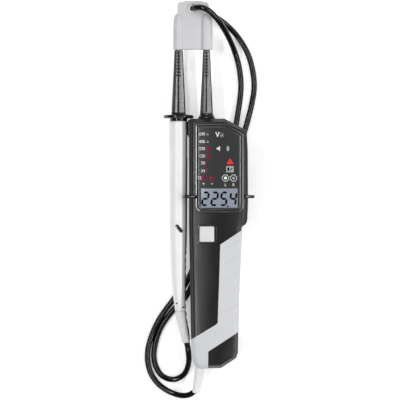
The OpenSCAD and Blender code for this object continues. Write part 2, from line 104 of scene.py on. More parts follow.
# The housing's outline from the front, anticlockwise: x, y and the corner's radius.
BODY = [
    (-13.8, 0, 3), (1.8, 0, 4), (12.2, 6.8, 3), (13.5, 10.5, 4), (13.7, 24.8, 30),
    (14.1, 45.9, 30), (15, 69.7, 30), (16, 90, 4), (16, 95.5, 2), (19, 97.7, 2),
    (19.9, 100.3, 5), (20.3, 112, 20), (20.1, 148, 10), (19.4, 161, 2.5), (4.4, 169, 2.5),
    (-19.7, 169, 2), (-19.7, 97, 40), (-19, 59.5, 40), (-18.4, 22, 30), (-17.8, 8.5, 8),
    (-16.3, 3.2, 4)]

# How the front face runs into the sides: inset, and share of the way up to the crown.
FRONT_EDGE = [
    (0.35, 0.06), (0.7, 0.2), (1.2, 0.43), (1.7, 0.68), (2, 0.83), (2.15, 0.9), (2.6, 0.965),
    (3, 1)]
EDGE_SPAN = 10
REAR_EDGE = [(0.4, 0.15), (1, 0.42), (1.8, 0.7), (2.7, 0.92), (3.4, 1)]

GRIP = [
    (30, 102.7, 0), (15, 92.8, 0), (1.4, 83.8, 0.8), (0.9, 66.3, 9), (0.2, 45.9, 9),
    (-0.3, 30.9, 0.8), (-1.7, 29.6, 0.8), (-30, 12.5, 0), (-30, -9, 0), (-6.8, -9, 0),
    (-6.7, 11.6, 0.6), (30, 35.3, 0)]

WINDOW = [
    (-12.6, 105.7, 1), (14.6, 105.7, 1), (17, 108.3, 1), (17, 158.6, 1.2), (5.1, 165.2, 3),
    (-15.6, 165.2, 1.6), (-15.6, 108.7, 1)]

GUARD = [
    (-14.3, 32.4, 0.3), (-16.4, 32.2, 1), (-22.4, 30.7, 1.5), (-23.8, 27.6, 1), (-23.8, 23.6, 1),
    (-20.1, 21.5, 0.6), (-20.1, 3, 1), (-18.4, 0, 1.5), (-7, 0, 1), (-5.5, 4.75, 1), (7, 4.75, 1),
    (8, 0, 1), (19, 0, 1.5), (22.6, 3.2, 3), (25, 9, 3), (25, 25, 2), (24.4, 28.4, 1.2),
    (19, 30.8, 1.5), (17.7, 31.2, 0.3)]

SCREWS = [(13.3, 158), (-16.2, 162.4), (-9.2, 8), (8.5, 8)]
DOOR_SCREW = (-2.5, 75.5)
SCREW_HEAD_Z = 9
COUNTERBORE_R = 2.9
DOOR = [(-14, 24, 3), (9.5, 24, 3), (9.5, 80, 3), (-14, 80, 3)]

# The second probe's handle along y: left, right, half height, middle height.
HANDLE = [
    (17.7, -24.6, -19.1, 2.9, 14), (22, -25.8, -19.3, 3.4, 14.4), (27, -27, -20, 3.9, 15),
    (32.3, -28.2, -20.8, 4.4, 15.6), (38, -29.2, -21.4, 4.9, 16.1), (43, -29.8, -21.8, 5.3, 16.5),
    (50, -30.7, -21.8, 5.7, 16.8), (58, -31.4, -21.7, 6.1, 17), (68, -32, -21.5, 6.5, 17),
    (80, -32.5, -21.3, 6.8, 17), (94, -33, -21.1, 7, 17), (148, -33.1, -20.7, 7, 17),
    (160, -33.1, -20.7, 7, 17), (167.6, -33, -20.8, 6.6, 17)]
PROBE_BOOT_Y = 38
SPINE_DEPTH = 0.8
FINGER_WAVES = (26, 82)
FINGER_WAVE = 5.2
PROBE_PINS = [(-28, 43.7), (-23.8, 41)]

# The lead's own line, from the main unit's boot round to the second probe.
LEAD = [
    (-15.2, -16.3, 10.4), (-18, -18.7, 9.2), (-21.6, -20.1, 7.6), (-25.6, -20.2, 5.8),
    (-30.2, -19.1, 4), (-36, -16.4, 2.6), (-42.2, -11.3, 2.05), (-46.8, -3.5, 2.05),
    (-48.4, 7, 2.05), (-46.4, 18, 2.05), (-40.5, 31.5, 2.05), (-31.5, 44.3, 2.05),
    (-22, 56.5, 2.05), (-14.5, 74, 2.05), (-8, 95.5, 2.05), (-1.8, 116, 2.05),
    (5, 137, 2.05), (11, 158, 2.05), (14.2, 176, 2.05), (15.9, 190.5, 2.05),
    (15, 203, 2.4), (12.2, 213.9, 5), (7.5, 224.7, 12), (1.4, 234.4, 20),
    (-5.4, 241.6, 24.8), (-10.5, 244.2, 25.4), (-15.2, 244.6, 22.6), (-17.1, 244.5, 19.6),
    (-17.4, 244.4, 17), (-17.1, 244.3, 14.4), (-15.2, 244.1, 11.4), (-10, 243.2, 8.6),
    (-2, 239.7, 6), (6.5, 233.8, 3.2), (15, 224.4, 2.05), (21.8, 211.5, 2.05),
    (25, 195, 2.05), (23.6, 181, 2.05), (19.2, 163.5, 2.05), (12.5, 141.1, 2.05),
    (5.2, 121, 2.05), (-2, 101, 2.05), (-8.2, 81, 2.05), (-14.2, 64, 2.05),
    (-21.5, 48, 2.05), (-31.3, 37.4, 2.05), (-39.5, 25.5, 2.05), (-43.6, 12, 2.05),
    (-43.3, 1.7, 2.05), (-38.5, -6.8, 2.05), (-30.5, -9.6, 2.3), (-23.2, -5.8, 4.6),
    (-20.1, 1.8, 8.2), (-20.2, 10, 12), (-21.3, 16.8, 13.8)]

# ---- mesh tools ----


def row(point):
    """A bench point in the row frame, in metres."""
    return ORIGIN + Vector(point) * MM


def linked(name, data):
    """A new object of that data, in the scene."""
    obj = bpy.data.objects.new(name, data)
    bpy.context.scene.collection.objects.link(obj)
    return obj


def mesh_object(name, points, faces):
    mesh = bpy.data.meshes.new(name)
    mesh.from_pydata([tuple(p) for p in points], [], faces)
    return linked(name, mesh)


def edit(obj, work):
    """Runs work on the object's bmesh, then turns every face outwards."""
    bm = bmesh.new()
    bm.from_mesh(obj.data)
    work(bm)
    bmesh.ops.recalc_face_normals(bm, faces=bm.faces)
    bm.to_mesh(obj.data)
    bm.free()
    return obj


def loft(name, rings, around=False):
    """A closed solid through rings of equally many points; around joins the last to the first."""
    n = len(rings[0])
    m = len(rings)
    last = m if around else m - 1
    points = [p for ring in rings for p in ring]
    faces = []
    for j in range(last):
        a, b = j * n, (j + 1) % m * n
        faces += [[a + i, a + (i + 1) % n, b + (i + 1) % n, b + i] for i in range(n)]
    if not around:
        faces += [list(range(n)), [(m - 1) * n + i for i in range(n)]]
    return edit(mesh_object(name, points, faces), lambda bm: None)


def inset(corners, d):
    """An anticlockwise outline moved inwards by d, with the radii of its corners."""
    moved = []
    for i, (x, y, r) in enumerate(corners):
        p = Vector((x, y))
        u = (p - Vector(corners[i - 1][:2])).normalized()
        v = (Vector(corners[(i + 1) % len(corners)][:2]) - p).normalized()
        m = Vector((-u.y - v.y, u.x + v.x))
        p += m * 2 * d / m.dot(m)
        turn = 1 if u.cross(v) > 0 else -1
        moved.append((p.x, p.y, max(r - turn * d, 0.2) if r else 0))
    return moved


def rounded(corners, steps=5):
    """The outline's points, with an arc of the same number of points at each corner."""
    points = []
    for i, (x, y, r) in enumerate(corners):
        p = Vector((x, y))
        to_last = Vector(corners[i - 1][:2]) - p
        to_next = Vector(corners[(i + 1) % len(corners)][:2]) - p
        half = to_last.angle(to_next) / 2
        reach = min(max(r, 0.05) / math.tan(half), 0.45 * to_last.length, 0.45 * to_next.length)
        middle = to_last.normalized() + to_next.normalized()
        centre = p + middle.normalized() * reach / math.cos(half)
        start = p + to_last.normalized() * reach - centre
        end = p + to_next.normalized() * reach - centre
        sweep = start.angle_signed(end)
        for k in range(steps + 1):
            arm = start.copy()
            arm.rotate(Matrix.Rotation(-sweep * k / steps, 2))
            points.append((centre.x + arm.x, centre.y + arm.y))
    return points


def stacked(name, corners, levels):
    """An outline's solid through levels of (inset, height)."""
    return loft(name, [[(x, y, z) for x, y in rounded(inset(corners, d))] for d, z in levels])


def pad(name, corners, low, high, soft=0.0):
    """An outline raised from low to high, its edges rounded by soft."""
    levels = [(0, low), (0, high)]
    if soft:
        levels = [(soft, low), (0.3 * soft, low + 0.3 * soft), (0, low + soft),
                  (0, high - soft), (0.3 * soft, high - 0.3 * soft), (soft, high)]
    return stacked(name, corners, levels)


def rectangle(x0, y0, x1, y1, r):
    return [(x0, y0, r), (x1, y0, r), (x1, y1, r), (x0, y1, r)]


def disc(name, centre, radius, low, high, sides=48):
    turns = [2 * math.pi * k / sides for k in range(sides)]
    plan = [(centre[0] + radius * math.cos(a), centre[1] + radius * math.sin(a)) for a in turns]
    return loft(name, [[(x, y, z) for x, y in plan] for z in (low, high)])


def turned(name, profile, sides, place):
    """A closed profile of (radius, height) pairs turned about an axis, which place() puts there."""
    turns = [2 * math.pi * k / sides for k in range(sides)]
    rings = [[place(r * math.cos(a), r * math.sin(a), h) for a in turns] for r, h in profile]
    return edit(loft(name, rings, around=True),
                lambda bm: bmesh.ops.remove_doubles(bm, verts=bm.verts, dist=1e-4))


def lathe(name, profile, x, z, sides=64):
    """A closed profile of (radius, y) pairs turned about a line along y."""
    return turned(name, profile, sides, lambda across, up, y: (x + across, y, z + up))


def lathe_z(name, profile, centre, sides=40):
    """A closed profile of (radius, z) pairs turned about a vertical line."""
    return turned(name, profile, sides, lambda a, b, z: (centre[0] + a, centre[1] + b, z))


def rod(name, x, y0, y1, r, z=TIP_Z):
    return lathe(name, [(0, y0), (r, y0), (r, y1), (0, y1)], x, z, 48)


def transform(obj, matrix):
    obj.data.transform(matrix)
    return edit(obj, lambda bm: None)


def bake_modifiers(obj):
    depsgraph = bpy.context.evaluated_depsgraph_get()
    mesh = bpy.data.meshes.new_from_object(obj.evaluated_get(depsgraph), depsgraph=depsgraph)
    obj.modifiers.clear()
    obj.data = mesh
    return obj


def boolean(obj, tool, operation, keep_tool=False):
    modifier = obj.modifiers.new("boolean", "BOOLEAN")
    modifier.object = tool
    modifier.operation = operation
    modifier.solver = "EXACT"
    bake_modifiers(obj)
    if not keep_tool:
        bpy.data.objects.remove(tool)
    return obj


def cut(obj, *tools):
    for tool in tools:
        boolean(obj, tool, "DIFFERENCE")
    return obj


def merged(name, objects):
    """One object of all their meshes."""
    bm = bmesh.new()
    for obj in objects:
        bm.from_mesh(obj.data)
        bpy.data.objects.remove(obj)
    mesh = bpy.data.meshes.new(name)
    bm.to_mesh(mesh)
    bm.free()
    return linked(name, mesh)


def between(a, b, c, d, t):
    """The smooth line's point at t from b to c, where a comes before b and d after c."""
    return (2 * b + (c - a) * t + (2 * a - 5 * b + 4 * c - d) * t * t
            + (3 * b - a - 3 * c + d) * t * t * t) / 2


def neighbours(items, i):
    """The items round the stretch from i to the next one, held at both ends."""
    return items[max(i - 1, 0)], items[i], items[i + 1], items[min(i + 2, len(items) - 1)]


def catmull(points, step):
    """A smooth line through the points, a point about every step."""
    points = [Vector(p) for p in points]
    line = []
    for i in range(len(points) - 1):
        a, b, c, d = neighbours(points, i)
        parts = max(1, round((c - b).length / step))
        line += [between(a, b, c, d, k / parts) for k in range(parts)]
    return line + [points[-1]]


def tube(name, line, radius, sides=16):
    """A round tube along a line, its ends closed."""
    rings = []
    side = Vector((0, 0, 1))
    for i, centre in enumerate(line):
        heading = (line[min(i + 1, len(line) - 1)] - line[max(i - 1, 0)]).normalized()
        side = (side - heading * side.dot(heading)).normalized()
        across = heading.cross(side)
        turns = [2 * math.pi * k / sides for k in range(sides)]
        rings.append([centre + radius * (math.cos(a) * side + math.sin(a) * across) for a in turns])
    return loft(name, rings)


def put(obj, body, material, nodes=(), sharp=35):
    """Takes a finished piece to the row frame, with its finish and the body that it rides on."""
    obj.data.transform(Matrix.Translation(ORIGIN) @ Matrix.Scale(MM, 4))
    obj.data.materials.clear()
    obj.data.materials.append(material)
    obj.data.polygons.foreach_set("use_smooth", [True] * len(obj.data.polygons))
    obj.data.set_sharp_from_angle(angle=math.radians(sharp))
    if body:
        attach(obj, body)
    if nodes:
        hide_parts(*nodes)
    return obj


# ---- materials ----


def linear(code):
    """A #rrggbb colour in linear light."""
    shares = [int(code[i:i + 2], 16) / 255 for i in (1, 3, 5)]
    return [s / 12.92 if s <= 0.04045 else ((s + 0.055) / 1.055) ** 2.4 for s in shares]


class Finish:
    """A node material: a colour that drifts, and a grain in bump and roughness."""

    def __init__(self, name, code, roughness, **sockets):
        self.material = bpy.data.materials.new(name)
        self.material.use_nodes = True
        self.nodes = self.material.node_tree.nodes
        self.links = self.material.node_tree.links
        self.shader = self.nodes["Principled BSDF"]
        self.place = self.nodes.new("ShaderNodeTexCoord").outputs["Object"]
        self.colour = linear(code)
        self.roughness = roughness
        for socket, value in sockets.items():
            self.shader.inputs[socket.replace("_", " ")].default_value = value

    def node(self, kind, **inputs):
        """A new node, each input a value or the output that feeds it."""
        node = self.nodes.new("ShaderNode" + kind)
        for name, value in inputs.items():
            socket = node.inputs[name.replace("_", " ")]
            if isinstance(value, bpy.types.NodeSocket):
                self.links.new(value, socket)
            else:
                socket.default_value = value
        return node

    def feed(self, name, output):
        self.links.new(output, self.shader.inputs[name])

    def noise(self, scale, detail=3.0, stretch=None):
        place = self.place
        if stretch:
            place = self.node("Mapping", Vector=place, Scale=stretch).outputs["Vector"]
        return self.node("TexNoise", Vector=place, Scale=scale, Detail=detail).outputs["Fac"]

    def ramp(self, value, stops):
        node = self.node("ValToRGB", Fac=value)
        elements = node.color_ramp.elements
        for element, (at, colour) in zip(elements, stops, strict=True):
            element.position = at
            element.color = [*colour, 1]
        return node.outputs["Color"]

    def spread(self, value, low, high, at=(0.3, 0.7)):
        node = self.node("MapRange", Value=value, From_Min=at[0], From_Max=at[1], To_Min=low, To_Max=high)
        return node.outputs["Result"]

    def drift(self, scale=45, share=0.05):
        """Lets the colour drift by a share of itself."""
        dark = [c * (1 - share) for c in self.colour]
        light = [min(c * (1 + share), 1) for c in self.colour]
        self.feed("Base Color", self.ramp(self.noise(scale, 4), [(0.3, dark), (0.7, light)]))
        return self

    def worn(self, code, width=0.35):
        """Rubs patches of the edges towards a colour, over width millimetres."""
        match = self.node("VectorMath")
        match.operation = "DOT_PRODUCT"
        self.links.new(self.node("Bevel", Radius=width * MM).outputs["Normal"], match.inputs[0])
        self.links.new(self.node("NewGeometry").outputs["Normal"], match.inputs[1])
        patch = self.node("Math")
        patch.operation = "MULTIPLY"
        self.links.new(self.spread(match.outputs["Value"], 1, 0, (0.8, 0.99)), patch.inputs[0])
        self.links.new(self.spread(self.noise(260, 4), 0, 1, (0.42, 0.62)), patch.inputs[1])
        rubbed = self.nodes.new("ShaderNodeMix")
        rubbed.data_type = "RGBA"
        rubbed.inputs["B"].default_value = [*linear(code), 1]
        self.links.new(patch.outputs["Value"], rubbed.inputs["Factor"])
        plain = self.shader.inputs["Base Color"].links[0].from_socket
        self.links.new(plain, rubbed.inputs["A"])
        self.feed("Base Color", rubbed.outputs["Result"])
        return self

    def grain(self, scale, depth, rough=0.05, stretch=None):
        """A grain of that many bumps to the metre, depth millimetres deep."""
        fine = self.noise(scale, 2, stretch)
        bump = self.node("Bump", Strength=0.6, Distance=depth * MM, Height=fine)
        self.feed("Normal", bump.outputs["Normal"])
        smears = self.noise(70, 5, (1, 0.35, 1))
        self.feed("Roughness", self.spread(smears, self.roughness - rough, self.roughness + rough))
        return self


def plastic(name, code, roughness, grain=900, depth=0.05, drift=0.05, wear=None, **sockets):
    finish = Finish(name, code, roughness, **sockets).drift(share=drift).grain(grain, depth)
    return (finish.worn(wear) if wear else finish).material


def metal(name, code, roughness):
    finish = Finish(name, code, roughness, Metallic=1.0)
    return finish.drift(120, 0.08).grain(400, 0.02, 0.07, (1, 0.05, 1)).material


def board_finish():
    """Green solder mask over a maze of copper tracks."""
    finish = Finish("board_green", "#1d5c38", 0.35, Coat_Weight=0.3)
    tracks = finish.node("TexBrick", Vector=finish.place, Scale=320, Color1=[*linear("#1d5c38"), 1],
                         Color2=[*linear("#17502f"), 1], Mortar=[*linear("#3c8a52"), 1])
    finish.feed("Base Color", tracks.outputs["Color"])
    return finish.grain(1500, 0.03).material


def cell_finish():
    """A printed jacket: a dark band over a copper-coloured one, with a wrinkled film."""
    finish = Finish("cell_jacket", "#8c7a4a", 0.3, Metallic=0.6)
    wave = finish.noise(9, 1, (0.2, 1, 0.2))
    finish.feed("Base Color", finish.ramp(wave, [(0.47, linear("#26272b")), (0.5, linear("#a5763c"))]))
    return finish.grain(500, 0.03).material


def lamp(name, code, glow, strength):
    finish = Finish(name, code, 0.4, Emission_Strength=strength, Specular_IOR_Level=0.25)
    finish.shader.inputs["Emission Color"].default_value = [*linear(glow), 1]
    return finish.drift(900, 0.12).grain(1200, 0.02).material


BLACK = plastic("black_plastic", "#050507", 0.33, 1100, 0.03, 0.12, "#1d1d20", Specular_IOR_Level=0.52)
DEEP_BLACK = plastic("deep_black_plastic", "#050506", 0.2, 1100, 0.012, 0.1, "#1a1a1c",
                     Specular_IOR_Level=0.6)
WINDOW_BLACK = plastic("window_black", "#191a1d", 0.35, 2400, 0.008, 0.06, Specular_IOR_Level=0.75,
                       Coat_Weight=0.8, Coat_Roughness=0.1)
OVERMOULD = plastic("white_overmould", "#d3d4d6", 0.6, 1500, 0.07, 0.02, "#bcbab4", Sheen_Weight=0.05)
WHITE = plastic("white_plastic", "#f3f5f5", 0.33, 700, 0.02, 0.015, "#d6d6d2")
CAP_WHITE = plastic("cap_plastic", "#d0d0d2", 0.45, 500, 0.08, 0.05, "#aeaeab")
BUTTON_WHITE = plastic("button_white", "#dedee1", 0.4, 900, 0.04, 0.02, "#c2c2c1")
BEZEL_GREY = plastic("bezel_grey", "#17171a", 0.2, 900, 0.01, Specular_IOR_Level=0.8, Coat_Weight=0.7,
                     Coat_Roughness=0.12)
SHAFT_BLACK = plastic("shaft_black", "#08080a", 0.25, 800, 0.012, 0.1, "#222224", Specular_IOR_Level=0.8)
JACKET = plastic("lead_jacket", "#030303", 0.12, 400, 0.004, 0.1, Specular_IOR_Level=0.45)
LCD_GREY = plastic("lcd_grey", "#9098a6", 0.22, 3000, 0.01, 0.02)
LCD_INK = plastic("lcd_ink", "#030405", 0.6, 2000, 0.01, Specular_IOR_Level=0.05)
PRINT = plastic("print_white", "#dededf", 0.5, 2000, 0.01, 0.02)
PRINT_GREY = plastic("print_grey", "#9fa8a4", 0.5, 2000, 0.01, 0.02)
STEEL = metal("screw_steel", "#9a9a9e", 0.32)
TIP_METAL = metal("tip_metal", "#c9c9cd", 0.22)
BRASS = metal("contact_metal", "#c2a866", 0.3)
BOARD_GREEN = board_finish()
CELL_JACKET = cell_finish()
RESISTOR_BLUE = plastic("resistor_blue", "#5d7fa3", 0.4)
RED_WINDOW = lamp("red_window", "#641a28", "#8a2236", 0.06)
RED_LAMP = lamp("red_lamp", "#c22a20", "#ff3a26", 0.22)
GREEN_LAMP = lamp("green_lamp", "#d2e8cd", "#dcffd4", 0.5)

# ---- camera, light and floor ----

VIEW_CENTRE = (-12.24, 113.9, 20)
VIEW_WIDTH = 0.272
CAMERA_AWAY = 1.5


def make_camera():
    data = bpy.data.cameras.new("camera")
    data.lens = data.sensor_width * CAMERA_AWAY / VIEW_WIDTH
    camera = linked("camera", data)
    camera.location = row(VIEW_CENTRE) + Vector((0, 0, CAMERA_AWAY))
    bpy.context.scene.camera = camera
    bpy.context.scene.view_settings.view_transform = "Standard"


def softbox(name, bearing, tilt, away, size, radiance):
    """A light that faces the object, tilt degrees off the vertical towards the bearing.

    The first of its two sizes runs up the tilt, the second level across it.
    """
    data = bpy.data.lights.new(name, "AREA")
    data.shape = "RECTANGLE"
    data.size, data.size_y = size
    data.energy = radiance * math.pi * size[0] * size[1]
    light = linked(name, data)
    a, t = math.radians(bearing), math.radians(tilt)
    towards = Vector((math.sin(t) * math.cos(a), math.sin(t) * math.sin(a), math.cos(t)))
    light.location = row(VIEW_CENTRE) + towards * away
    light.rotation_euler = towards.to_track_quat("Z", "X").to_euler()


def make_light():
    softbox("left_strip", 180, 25, 1.6, (0.09, 1.7), 25)
    softbox("right_strip", 0, 47, 1.6, (0.08, 1.7), 28)
    softbox("right_fill", 0, 25, 1.6, (0.07, 1.7), 8)
    softbox("end_strip", 88, 40, 1.8, (0.12, 1), 9)
    softbox("front_strip", 272, 38, 1.6, (0.08, 0.4), 14)
    world = bpy.data.worlds.new("world")
    world.use_nodes = True
    background = world.node_tree.nodes["Background"]
    background.inputs["Color"].default_value = (1, 1, 1, 1)
    background.inputs["Strength"].default_value = 0.14
    bpy.context.scene.world = world


def make_floor():
    side = 12
    corners = [(-side, -side, 0), (side, -side, 0), (side, side, 0), (-side, side, 0)]
    floor = mesh_object("floor", corners, [[0, 1, 2, 3]])
    finish = Finish("floor_white", "#fbfbfb", 0.8, Emission_Strength=0.38)
    finish.shader.inputs["Emission Color"].default_value = (1, 1, 1, 1)
    floor.data.materials.append(finish.drift(30, 0.005).grain(30, 0.02).material)


# ---- the lead ----


def lead_stretch(name, first, last):
    """One stretch of the lead, a tube along the route between two of its points."""
    line = stretch_line(first, last)
    obj = put(tube(name, line, LEAD_R), None, JACKET, ["test_lead"], 80)
    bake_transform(obj)


def stretch_line(first, last):
    """The lead's smooth line between two points of its route."""
    whole = catmull(LEAD, LEAD_STEP)
    a = min(range(len(whole)), key=lambda i: (whole[i] - Vector(LEAD[first])).length)
    b = min(range(len(whole)), key=lambda i: (whole[i] - Vector(LEAD[last])).length)
    return whole[a:b + 1]


def make_lead():
    """The jacket's stretches, split at the head's top, the cap's hole, the back's top and the low turn."""
    head_top, cap_hole = LEAD.index((14.2, 176, 2.05)), LEAD.index((-17.4, 244.4, 17))
    back_top, low_turn = LEAD.index((23.6, 181, 2.05)), LEAD.index((-30.5, -9.6, 2.3))
    lead_stretch("lead_from_main_unit", 0, head_top)
    lead_stretch("lead_up_to_cap", head_top, cap_hole)
    lead_stretch("lead_down_from_cap", cap_hole, back_top)
    lead_stretch("lead_back_down", back_top, low_turn)
    lead_stretch("lead_into_probe", low_turn, len(LEAD) - 1)


# ---- housing ----


def crown(x):
    return FRONT_Z - CROWN_R + math.sqrt(CROWN_R ** 2 - x * x)


def sliced(obj, low, high):
    """Cuts a form's faces every 2 mm across, so that a crown can bend them."""
    def slice_across(bm):
        for x in range(low, high, 2):
            geometry = bm.verts[:] + bm.edges[:] + bm.faces[:]
            bmesh.ops.bisect_plane(bm, geom=geometry, plane_co=(x, 0, 0), plane_no=(1, 0, 0))
    return edit(obj, slice_across)


def upper_form(name, d, start=PART_Z):
    """The housing's upper half, its faces moved inwards by d."""
    levels = [(d, start), (d, SHOULDER_Z - 0.7 - d), (d + 0.15, SHOULDER_Z - 0.3 - d)]
    if start == PART_Z and d == 0:
        levels[0:1] = [(0.2, PART_Z), (0, PART_Z + 0.25)]
    levels += [(d + a, SHOULDER_Z + EDGE_SPAN * share) for a, share in FRONT_EDGE]
    form = sliced(stacked(name, BODY, levels), -18, 19)
    for vertex in form.data.vertices:
        share = (vertex.co.z - SHOULDER_Z) / EDGE_SPAN
        if share > 0.05:
            vertex.co.z = SHOULDER_Z - d + share * (crown(vertex.co.x) - SHOULDER_Z)
    return form


def lower_form(name, d, start=PART_Z):
    """The housing's lower half, its faces moved inwards by d."""
    levels = [(d, start), (d, HEEL_Z + d + 0.6), (d + 0.1, HEEL_Z + d)]
    if start == PART_Z and d == 0:
        levels[0:1] = [(0.2, PART_Z), (0, PART_Z - 0.25)]
    levels += [(d + a, HEEL_Z + d - f * (HEEL_Z - BACK_Z)) for a, f in REAR_EDGE]
    return stacked(name, BODY, levels)


def grip_skin(name, form):
    """The soft skin over one half of the housing."""
    open_end = PART_Z + (OVER if form is lower_form else -OVER)
    skin = cut(form(name, -PROUD), form("inside", SKIN, open_end))
    return boolean(skin, pad("region", GRIP, -20, 60), "INTERSECT")


def grip_side(y):
    """The grip's right face at y."""
    return 14.1 + PROUD + (y - 45.9) * (0.0425 if y > 45.9 else 0.019)


def groove(y):
    """A tube along one of the grip's slanted grooves, over the front and round the right side."""
    side = grip_side(y)
    surface = [(x, crown(x) + PROUD) for x in (2.2, 3.4, 5, 7, 9)]
    for a, share in reversed(FRONT_EDGE):
        rise = share * (crown(side - a) - SHOULDER_Z)
        surface.append((side - a, SHOULDER_Z + rise + PROUD))
    surface += [(side, 26.5), (side, 24), (side, 21), (side + 0.5, 18.5)]
    points = []
    for i, (x, z) in enumerate(surface):
        before, after = surface[max(i - 1, 0)], surface[min(i + 1, len(surface) - 1)]
        out = Vector((before[1] - after[1], after[0] - before[0])).normalized()
        lift = GROOVE_R - GROOVE_DEPTH + (0.6, 0.2, 0)[min(i, 2)]
        along = y + (x - side) * math.tan(math.radians(30)) + max(0, 27 - z) * 0.3
        points.append((x + out.x * lift, along, z + out.y * lift))
    return tube("groove", catmull(points, 0.8), GROOVE_R, 14)


def make_front():
    grip = grip_skin("front_grip", upper_form)
    shell = cut(upper_form("front_housing", 0), upper_form("inside", WALL, PART_Z - 5))
    boolean(shell, grip, "DIFFERENCE", keep_tool=True)
    x, y = BUTTON_AT
    hole = BEZEL_HALF + 0.12
    cut(shell,
        pad("pocket", inset(WINDOW, -0.15), WINDOW_BASE_Z, OVER),
        pad("button_hole", rectangle(x - hole, y - hole, x + hole, y + hole, 1.9), 20, OVER),
        tip_hole(),
        boot_hole())
    cut(grip, boot_hole(), *[groove(FIRST_GROOVE_Y - GROOVE_PITCH * i) for i in range(GROOVES)])
    put(grip, "root", OVERMOULD, ["front_overmould"], 30)
    put(shell, "root", BLACK, ["front_shell"], 30)


def boot_hole():
    return rod("boot_hole", -12.2, -6, 5, 3.5, 14)


def tip_hole():
    return rod("tip_hole", MAIN_X, 160, 180, TIP_HOLE_R)


def heel():
    """The foot under the housing's lower end."""
    side = [(0.8, 8, 0.3), (0.8, 1.4, 1), (2, 0, 1.2), (14, 0, 3), (22, 5, 2), (22, 8, 0.3)]
    block = pad("heel", side, -13, 11, 0.9)
    transform(block, Matrix(((0, 0, 1, 0), (1, 0, 0, 0), (0, 1, 0, 0), (0, 0, 0, 1))))
    return boolean(block, pad("outline", inset(BODY, 0.6), -1, 12), "INTERSECT")


def make_rear():
    grip = grip_skin("rear_grip", lower_form)
    shell = cut(lower_form("rear_housing", 0), lower_form("inside", WALL, PART_Z + 5))
    boolean(shell, grip, "DIFFERENCE", keep_tool=True)
    boolean(shell, cut(heel(), lower_form("inside", WALL - 0.5, PART_Z + 5)), "UNION")
    for piece in (grip, shell):
        for p in SCREWS:
            cut(piece, disc("counterbore", p, COUNTERBORE_R, -2, 11))
        cut(piece, pad("door_opening", DOOR, -2, BACK_Z + WALL + 0.5))
        cut(piece, boot_hole())
    cut(grip, heel())
    cut(shell, tip_hole())
    put(grip, "root", OVERMOULD, ["rear_overmould"], 30)
    put(shell, "root", BLACK, ["rear_shell"], 30)


def make_door():
    """The battery cover: a panel with a ribbed thumb patch and its captive screw's seat."""
    door = pad("door", inset(DOOR, 0.2), BACK_Z, BACK_Z + WALL, 0.25)
    hollow = COUNTERBORE_R
    boss = lathe_z("boss", [(hollow, 6), (3.9, 6), (3.9, 10.3), (3.6, 10.5), (hollow, 10.5)], DOOR_SCREW)
    cut(door, disc("counterbore", DOOR_SCREW, COUNTERBORE_R, -2, 8))
    ribs = [pad("rib", rectangle(-7, 30 + 2.4 * i, 2, 31.3 + 2.4 * i, 0.6), BACK_Z - 0.45, BACK_Z + 0.6, 0.3)
            for i in range(7)]
    frame_line = pad("line", rectangle(-9.5, 27.5, 4.5, 48.5, 2), BACK_Z - 0.02, BACK_Z + 0.35)
    cut(door, cut(frame_line, pad("inner", rectangle(-9, 28, 4, 48, 1.6), BACK_Z - 1, BACK_Z + 1)))
    put(merged("battery_cover", [door, boss, *ribs]), "root", BLACK, ["battery_door"], 30)


def screw(at, length):
    """A pan-head cross-recess screw, driven from below."""
    z = SCREW_HEAD_Z
    body = lathe_z("screw", [
        (0, z - 1.75), (1.4, z - 1.7), (2.2, z - 1.4), (2.6, z - 0.9), (2.7, z - 0.4), (2.65, z),
        (1.35, z), *[(1.4 - 0.16 * (i % 2), z + 1 + 0.45 * i) for i in range(int((length - 3) / 0.45))],
        (0.5, z + length - 1.9), (0, z + length - 1.9)], at)
    for w, l in ((0.4, 1.5), (1.5, 0.4)):
        slot = rectangle(at[0] - w, at[1] - l, at[0] + w, at[1] + l, 0.1)
        cut(body, pad("recess", slot, z - 4, z - 0.7))
    return body


def make_screws():
    put(merged("case_screws", [screw(p, 16.5) for p in SCREWS]), "root", STEEL,
        ["housing_screws"], 30)
    put(screw(DOOR_SCREW, 15), "root", STEEL, ["door_screw"], 30).name = "cover_screw"


def make_guard():
    """The finger guard: a thin plate with soft edges round the head."""
    plate = pad("guard_plate", GUARD, -GUARD_Y - GUARD_T, -GUARD_Y, 0.85)
    transform(plate, Matrix(((1, 0, 0, 0), (0, 0, -1, 0), (0, 1, 0, 0), (0, 0, 0, 1))))
    cut(plate, pad("window_gap", rectangle(-14.2, 100, 17.6, 130, 0), 26, OVER))
    cut(plate, upper_form("core", SKIN, PART_Z - 0.5), lower_form("core", SKIN, PART_Z + 0.5))
    put(plate, "root", DEEP_BLACK, ["finger_guard"], 35)


# ---- display window ----


def window_drop(x):
    """How far the window's crown falls off towards its sides."""
    return x * x / (2 * WINDOW_R)


def drape(obj):
    """Lays a piece that was made flat onto the window's crown."""
    for vertex in obj.data.vertices:
        vertex.co.z -= window_drop(vertex.co.x)
    return obj


def make_window():
    levels = [(0.1, WINDOW_BASE_Z), (0, WINDOW_BASE_Z + 0.2), (0, 31.95), (0.05, 32.1), (0.4, 32.22),
              (1.12, 32.31), (1.16, 32.2), (1.18, 30.2), (1.78, 30.2), (1.8, 32.25), (1.9, 32.42),
              (2.3, 32.56), (2.7, WINDOW_Z)]
    pane = drape(sliced(stacked("pane", WINDOW, levels), -15, 17))
    cut(pane, pad("lcd_hole", rectangle(*LCD_LOW, *LCD_HIGH, 0.5), 20, OVER))
    slot = rectangle(-20, GUARD_Y - 0.1, -14.2, GUARD_Y + GUARD_T + 0.1, 0.2)
    cut(pane, pad("guard_slot", slot, 20, OVER))
    put(pane, "root", WINDOW_BLACK, ["display_panel"], 14).name = "display_window"


